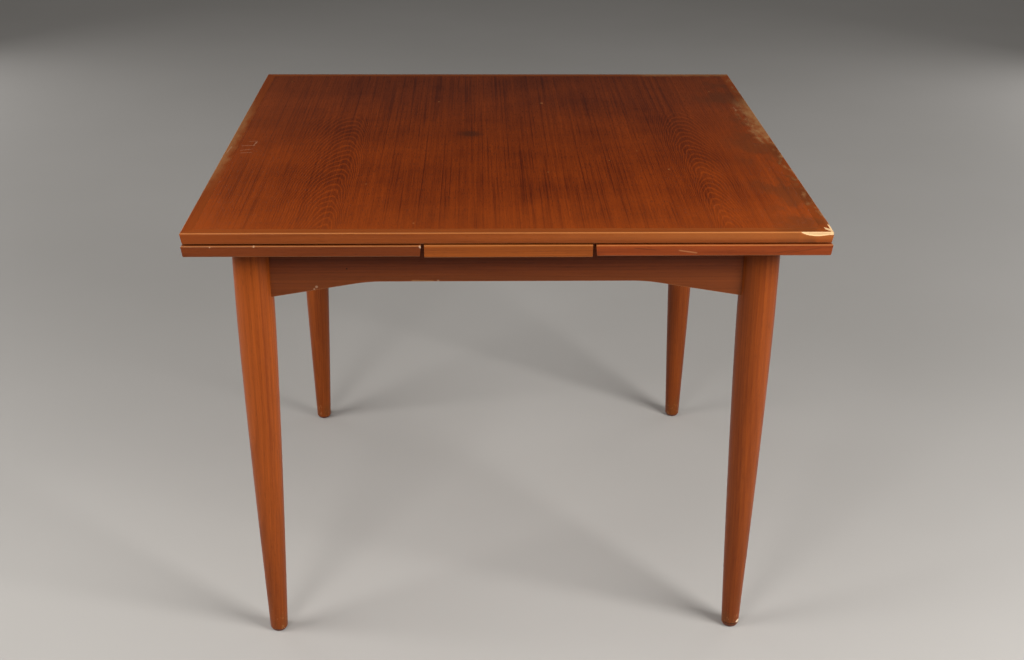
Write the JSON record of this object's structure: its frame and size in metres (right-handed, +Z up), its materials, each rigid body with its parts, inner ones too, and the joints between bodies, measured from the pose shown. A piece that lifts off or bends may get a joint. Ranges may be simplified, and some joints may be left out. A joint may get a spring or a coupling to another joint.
{
  "type": "draw-leaf dining table",
  "caption": "Square teak dining table on round tapered legs; a leaf under each side of the loose top draws out to lengthen it.",
  "frame": {"origin": "on the floor, under the middle of the closed table", "axes": "+Z up; +X the way the right leaf is drawn, so the left leaf is drawn along -X; the plain long side faces -Y"},
  "size_m": [0.9, 0.9, 0.71],
  "materials": {
    "teak_veneer": "quarter and crown cut teak veneer, satin lacquer, red-brown",
    "teak_edging": "solid teak, satin lacquer, arrises rubbed lighter",
    "solid_teak": "solid teak, turned or shaped, satin oil finish",
    "beech": "plain beech, planed and waxed",
    "zinc_steel": "dull zinc plate",
    "green_felt": "thin wool felt",
    "brown_plastic": "moulded nylon glide, scuffed"
  },
  "bodies": {
    "frame": {"apron_back": "solid_teak", "apron_front": "solid_teak", "apron_left": "solid_teak", "apron_right": "solid_teak", "bearer_rail": "beech", "centre_board_lipping_back": "teak_edging", "centre_board_lipping_front": "teak_edging", "centre_board_panel": "teak_veneer", "centre_board_screw_back_left": "zinc_steel", "centre_board_screw_back_right": "zinc_steel", "centre_board_screw_front_left": "zinc_steel", "centre_board_screw_front_right": "zinc_steel", "corner_block_back_left": "beech", "corner_block_back_right": "beech", "corner_block_front_left": "beech", "corner_block_front_right": "beech", "felt_pad_back": "green_felt", "felt_pad_front": "green_felt", "glide_back_left": "brown_plastic", "glide_back_right": "brown_plastic", "glide_front_left": "brown_plastic", "glide_front_right": "brown_plastic", "leg_back_left": "solid_teak", "leg_back_right": "solid_teak", "leg_bolt_back_left": "zinc_steel", "leg_bolt_back_right": "zinc_steel", "leg_bolt_front_left": "zinc_steel", "leg_bolt_front_right": "zinc_steel", "leg_front_left": "solid_teak", "leg_front_right": "solid_teak", "leg_nut_back_left": "zinc_steel", "leg_nut_back_right": "zinc_steel", "leg_nut_front_left": "zinc_steel", "leg_nut_front_right": "zinc_steel"},
    "top": {"guide_pin_back": "beech", "guide_pin_front": "beech", "top_lipping_back": "teak_edging", "top_lipping_front": "teak_edging", "top_lipping_left": "teak_edging", "top_lipping_right": "teak_edging", "top_panel": "teak_veneer"},
    "left_leaf": {"left_bearer_back": "beech", "left_bearer_front": "beech", "left_leaf_lipping_back": "teak_edging", "left_leaf_lipping_front": "teak_edging", "left_leaf_lipping_left": "teak_edging", "left_leaf_lipping_right": "teak_edging", "left_leaf_panel": "teak_veneer", "left_stop_peg_back": "beech", "left_stop_peg_front": "beech"},
    "right_leaf": {"right_bearer_back": "beech", "right_bearer_front": "beech", "right_leaf_lipping_back": "teak_edging", "right_leaf_lipping_front": "teak_edging", "right_leaf_lipping_left": "teak_edging", "right_leaf_lipping_right": "teak_edging", "right_leaf_panel": "teak_veneer", "right_stop_peg_back": "beech", "right_stop_peg_front": "beech"}
  },
  "joints": [
    {"name": "left_leaf_draw", "type": "slide", "parent": "frame", "child": "left_leaf", "axis": [-1, 0, 0], "range_m": [0, 0.3295]},
    {"name": "right_leaf_draw", "type": "slide", "parent": "frame", "child": "right_leaf", "axis": [1, 0, 0], "range_m": [0, 0.3295]},
    {"name": "top_lift", "type": "slide", "parent": "frame", "child": "top", "axis": [0, 0, 1], "range_m": [0, 0.06]}
  ]
}
